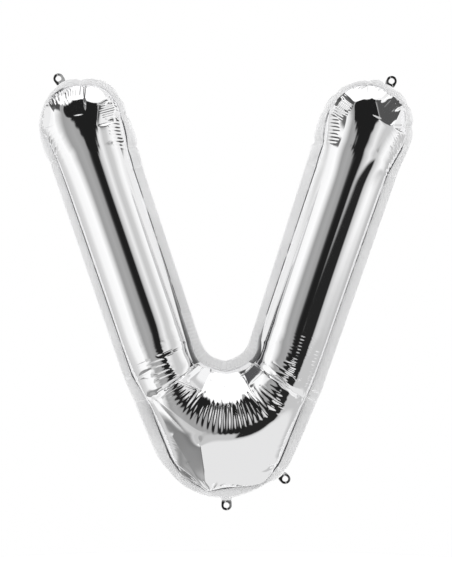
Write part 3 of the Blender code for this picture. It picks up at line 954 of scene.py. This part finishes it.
def tab_reach(turn):
    """Distance from the hole's centre to the tab's outline, by the angle off the way to its base."""
    corner, lean = math.hypot(TAB_BASE, TAB_HALF_BASE), math.atan2(TAB_HALF_BASE, TAB_BASE)
    if turn < lean:
        return TAB_BASE / math.cos(turn) - 1.2 * MM * (1 - (turn / lean) ** 2)
    ease = min((turn - lean) / 0.75, 1)
    return TAB_RADIUS + (corner - TAB_RADIUS) * (1 - ease) ** 1.6


def tab_film(name, hole, toward):
    hole, down = np.array(hole) * MM, np.array(toward) / np.linalg.norm(toward)
    across = np.array((-down[1], down[0]))
    front = []
    for ray in range(TAB_RAYS):
        turn = 2 * math.pi * ray / TAB_RAYS
        reach = tab_reach(min(turn, 2 * math.pi - turn))
        for ring in range(TAB_RINGS):
            radius = HOLE_RADIUS + (reach - HOLE_RADIUS) * ring / (TAB_RINGS - 1)
            x, z = hole + radius * (math.cos(turn) * down + math.sin(turn) * across)
            step = np.clip((x - hole[0] + 1.2 * MM + 0.25 * (z - hole[1])) / (1.6 * MM), 0, 1)
            curl = 0.5 * (radius / TAB_RADIUS) ** 2
            front.append((x, (0.5 - 0.5 * step * step * (3 - 2 * step) - curl) * MM, z))
    front = np.array(front) - (0, TAB_HALF_THICKNESS, 0)
    back = front + (0, 2 * TAB_HALF_THICKNESS, 0)
    faces, rims = ring_faces(TAB_RAYS, TAB_RINGS), ring_rims(TAB_RAYS, TAB_RINGS)
    return closed_sheet(name, front, back, faces, rims)


tab_mirror = mirror_film("tab_mirror_film", creases_or_painted_shade=False)
for node, hole, toward in TAB_HOLES:
    tab = tab_film(node.replace("hang_tab", "tab_film"), hole, toward)
    tab.data.materials.append(tab_mirror)
    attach(tab, "root")
    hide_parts(node)


# Studio
# A white room with a pale floor, tall soft boxes at the sides, one overhead, and the dark gap
# between them where the camera stands. The film mirrors all of it.

PIXEL, PHOTO_WIDTH = 2.067 * MM, 452
CAMERA_DISTANCE = 3.2
# Brightness of the walls, by degrees from the camera's side towards the letter's right
WALLS = (
    (-180, 0.3), (-153, 0.19), (-146, 0.42), (-134, 0.64), (-110, 0.74), (-92, 1), (-62, 1.08),
    (-49, 0.76), (-38, 0.36), (-24, 0.42), (-11, 0.36), (-5, 0.04), (0, 0.015), (14, 0.015),
    (19, 0.55), (34, 0.92), (47, 0.62), (60, 0.66), (72, 0.92), (84, 1.06), (104, 0.86), (120, 0.6),
    (140, 0.5), (165, 0.45), (180, 0.3),
)
# Other surfaces, each with its side to side and lower to upper limits and the softness of its
# edges, all in degrees, then its brightness
SURFACES = (
    ((-60, 200), (-120, -14), 5, 0.6), ((14, 58), (-30, 2), 5, 0.36), ((9, 54), (-28, -1), 3, 0.02),
    ((-33, 42), (34, 62), 4, 0.015), ((-27, 35), (29, 42), 4, 0.015), ((-21, 28), (24, 38), 4, 0.015),
    ((-15, 22), (19, 33), 4, 0.015), ((-10, 17), (15, 28), 4, 0.015), ((40, 82), (31, 48), 4, 0.09),
    ((-130, -40), (38, 74), 6, 0.08), ((96, 200), (2, 60), 6, 0.92), ((104, 150), (22, 45), 5, 0.1),
    ((-152, -128), (22, 50), 6, 0.1), ((-110, -60), (32, 48), 3, 0.14), ((-200, -96), (2, 24), 6, 0.92),
    ((-200, 200), (-120, -26), 6, 0.85), ((-200, -17), (-74, -27), 9, 0.2),
    ((-200, -50), (-74, -27), 20, 0.3), ((-200, -80), (-74, -27), 30, 0.5),
    ((-200, 200), (56, 120), 6, 1.2),
)
BACKGROUND = 1
# How far what the film mirrors of its own reflections is turned to white
PALER_AGAIN = 0.65


def room(world):
    """The room as the film mirrors it; the camera itself sees plain white behind the letter."""
    nodes, links = world.node_tree.nodes, world.node_tree.links

    def computed(operation, first, second=None):
        node = nodes.new("ShaderNodeMath")
        node.operation = operation
        links.new(first, node.inputs[0])
        if second is not None:
            links.new(second, node.inputs[1])
        return node.outputs["Value"]

    def spread(value, low, high, start=0, end=1, steps="LINEAR"):
        node = nodes.new("ShaderNodeMapRange")
        node.interpolation_type = steps
        fed(node, From_Min=low, From_Max=high, To_Min=start, To_Max=end)
        links.new(value, node.inputs["Value"])
        return node.outputs["Result"]

    def between(value, low, high, soft):
        low, high, soft = math.radians(low), math.radians(high), math.radians(soft)
        rising = spread(value, low, low + soft, steps="SMOOTHSTEP")
        return computed("SUBTRACT", rising, spread(value, high - soft, high, steps="SMOOTHSTEP"))

    def covered(under, brightness, share):
        node = nodes.new("ShaderNodeMix")
        node.data_type = "RGBA"
        fed(node, B=(brightness, brightness, brightness, 1))
        links.new(under, node.inputs["A"])
        links.new(share, node.inputs["Factor"])
        return node.outputs["Result"]

    toward, rays = nodes.new("ShaderNodeTexCoord"), nodes.new("ShaderNodeLightPath")
    parts = nodes.new("ShaderNodeSeparateXYZ")
    links.new(toward.outputs["Generated"], parts.inputs["Vector"])
    nearer = spread(parts.outputs["Y"], -1, 1, 1, -1)
    azimuth = computed("ARCTAN2", parts.outputs["X"], nearer)
    height = computed("ARCSINE", parts.outputs["Z"])
    walls = nodes.new("ShaderNodeValToRGB")
    stops = walls.color_ramp.elements
    for spare in range(len(WALLS) - 2):
        stops.new(0.5)
    for stop, (degrees, brightness) in zip(stops, WALLS):
        stop.position = (degrees + 180) / 360
        stop.color = (brightness, brightness, brightness, 1)
    links.new(spread(azimuth, -math.pi, math.pi), walls.inputs["Fac"])
    seen = walls.outputs["Color"]
    for (left, right), (lower, upper), soft, brightness in SURFACES:
        across, up = between(azimuth, left, right, soft), between(height, lower, upper, soft)
        seen = covered(seen, brightness, computed("MULTIPLY", across, up))
    again = spread(rays.outputs["Ray Depth"], 2, 3, 0, PALER_AGAIN)
    shiny = spread(rays.outputs["Diffuse Depth"], 0, 1, 1, 0)
    seen = covered(seen, 1, computed("MULTIPLY", again, shiny))
    seen = covered(seen, BACKGROUND, rays.outputs["Is Camera Ray"])
    links.new(seen, nodes["Background"].inputs["Color"])


camera_data = bpy.data.cameras.new("camera")
camera = placed("camera", camera_data)
camera_data.sensor_fit = "HORIZONTAL"
camera_data.lens = camera_data.sensor_width * CAMERA_DISTANCE / (PHOTO_WIDTH * PIXEL)
camera.location = (0.5 * PIXEL, -CAMERA_DISTANCE, -4 * PIXEL)
camera.rotation_euler = (math.radians(90), 0, 0)
bpy.context.scene.camera = camera

# Soft lights before and behind the letter, which the mirror film doesn't show
LIGHT_SIZE, LIGHT_POWER, LIGHT_DISTANCE, LIGHT_Z = 3, 125, 3.4, 1.6
for side in (-1, 1):
    light_data = bpy.data.lights.new("soft_light", "AREA")
    light_data.size = LIGHT_SIZE
    light_data.energy = LIGHT_POWER
    light = placed("soft_light", light_data)
    light.location = (0, side * LIGHT_DISTANCE, LIGHT_Z)
    light.rotation_euler = light.location.to_track_quat("Z", "Y").to_euler()
    light.visible_glossy = False

FLOOR_Z, FLOOR_RADIUS, FLOOR_SIDES = -0.95, 2.4, 96
floor_mesh = bpy.data.meshes.new("floor")
floor_turns = [2 * math.pi * i / FLOOR_SIDES for i in range(FLOOR_SIDES)]
floor_rim = [(FLOOR_RADIUS * math.cos(turn), FLOOR_RADIUS * math.sin(turn), 0) for turn in floor_turns]
floor_mesh.from_pydata(floor_rim, [], [range(FLOOR_SIDES)])
floor = placed("floor", floor_mesh)
floor.location.z = FLOOR_Z
floor.visible_glossy = False
floor_mesh.materials.append(finish("floor_paint", 0, 0.9, (0.95, 0.95, 0.95, 1))[0])

bpy.context.scene.view_settings.view_transform = "Standard"
world = bpy.data.worlds.new("white_room")
bpy.context.scene.world = world
world.use_nodes = True
room(world)
